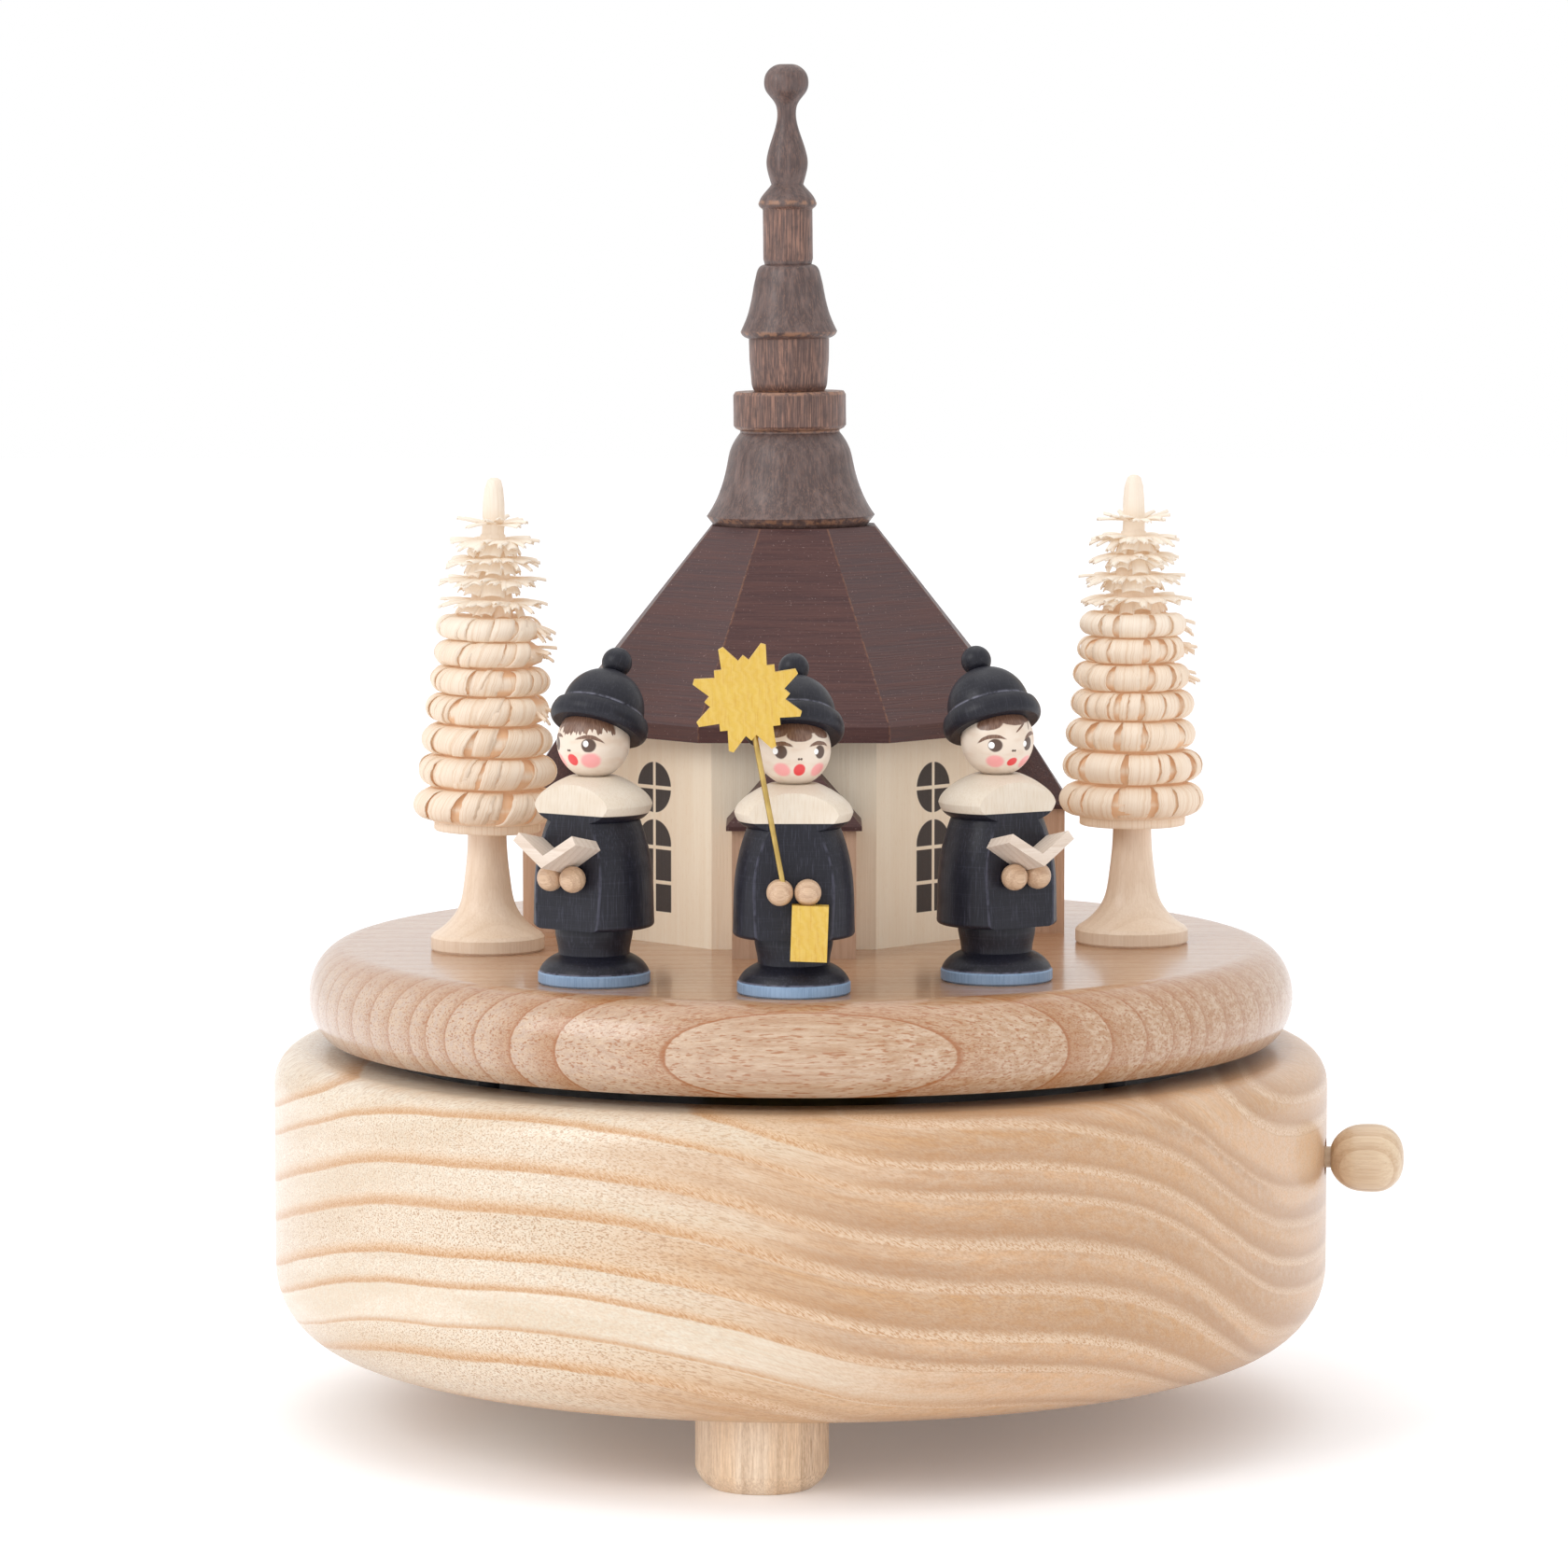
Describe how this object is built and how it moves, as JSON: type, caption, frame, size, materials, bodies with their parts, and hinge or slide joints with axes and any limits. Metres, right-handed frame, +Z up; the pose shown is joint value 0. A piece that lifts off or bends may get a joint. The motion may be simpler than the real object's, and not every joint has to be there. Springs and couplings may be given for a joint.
{
  "type": "wooden music box",
  "caption": "Round wooden music box on turned feet, with a turntable that carries a church, carol singers and shaved trees, and a side stop knob.",
  "frame": {"origin": "bottom centre of the bounding box, at the floor under the feet, a little to the right of the turntable's turning axis", "axes": "+Z up along the turning axis, -Y towards the front with the middle singer, +X towards the stop knob"},
  "size_m": [0.1601, 0.15, 0.192],
  "materials": {
    "ash_wood": "oiled ash with wavy grain",
    "lacquered_wood": "glossy clear lacquer",
    "pale_wood": "smooth bare wood",
    "stained_wood": "dark brown stain, worn at the edges",
    "rose_wood_stain": "pinkish brown stain",
    "black_paint": "matte black paint on wood",
    "cream_paint": "painted face on pale wood",
    "yellow_stain": "yellow stain",
    "black_cover": "gloss",
    "brass": "polished",
    "steel": "brushed",
    "blued_steel": "tempered",
    "cast_metal": "cast",
    "black_nylon": "matte",
    "rubber": "matte"
  },
  "bodies": {
    "case": {"housing": "ash_wood", "feet": "ash_wood", "dust_cover": "black_cover", "cover_screws": "steel", "bedplate": "cast_metal", "movement_screws": "steel", "cylinder_brackets": "steel", "comb": "steel", "comb_screws": "steel", "spring_drum": "brass", "drum_lid": "brass", "mainspring": "blued_steel", "governor_frame": "steel", "knob_bushing": "brass"},
    "turntable": {"turntable": "lacquered_wood", "turntable_flange": "brass", "flange_screws": "steel", "spring_arbor": "steel", "drive_wheel": "brass", "ratchet_wheel": "steel", "winding_click": "steel", "church_walls": "pale_wood", "church_roof": "stained_wood", "porches": "rose_wood_stain", "porch_roofs": "stained_wood", "spire_bell": "stained_wood", "spire_top": "stained_wood", "left_singer_legs": "black_paint", "left_singer_coat": "black_paint", "left_singer_head": "cream_paint", "left_singer_hat": "black_paint", "left_singer_hands": "pale_wood", "left_singer_book": "pale_wood", "middle_singer_legs": "black_paint", "middle_singer_coat": "black_paint", "middle_singer_head": "cream_paint", "middle_singer_hat": "black_paint", "middle_singer_hands": "pale_wood", "middle_singer_star": "yellow_stain", "middle_singer_star_rod": "brass", "middle_singer_lantern": "yellow_stain", "right_singer_legs": "black_paint", "right_singer_coat": "black_paint", "right_singer_head": "cream_paint", "right_singer_hat": "black_paint", "right_singer_hands": "pale_wood", "right_singer_book": "pale_wood", "left_tree_trunk": "pale_wood", "left_tree_crown": "pale_wood", "right_tree_trunk": "pale_wood", "right_tree_crown": "pale_wood"},
    "cylinder": {"cylinder": "brass", "cylinder_arbor": "steel", "great_wheel": "brass"},
    "governor_wheel": {"governor_wheel": "brass"},
    "fly": {"governor_worm": "steel", "fly": "black_nylon"},
    "stop_knob": {"stop_knob": "pale_wood", "stop_rod": "pale_wood", "brake_pad": "rubber"}
  },
  "joints": [
    {"name": "turntable_spin", "type": "hinge", "parent": "case", "child": "turntable", "pos_m": [-0.00503, 0, 0.06], "axis": [0, 0, 1], "continuous": true, "deforming": ["mainspring"]},
    {"name": "cylinder_spin", "type": "hinge", "parent": "case", "child": "cylinder", "pos_m": [0.02606, 0.00566, 0.0276], "axis": [0.9838, 0.179, 0], "continuous": true},
    {"name": "governor_spin", "type": "hinge", "parent": "case", "child": "governor_wheel", "pos_m": [0.04399, -0.00125, 0.0276], "axis": [0.9838, 0.179, 0], "continuous": true},
    {"name": "fly_spin", "type": "hinge", "parent": "case", "child": "fly", "pos_m": [0.04711, -0.00779, 0.03], "axis": [0, 0, 1], "continuous": true},
    {"name": "stop_knob_slide", "type": "slide", "parent": "case", "child": "stop_knob", "axis": [0.989, -0.1478, 0], "range_m": [0, 0.003]}
  ],
  "couplings": [
    {"joint": "cylinder_spin", "follows": "turntable_spin", "ratio": -3},
    {"joint": "governor_spin", "follows": "turntable_spin", "ratio": 12},
    {"joint": "fly_spin", "follows": "turntable_spin", "ratio": 240}
  ]
}
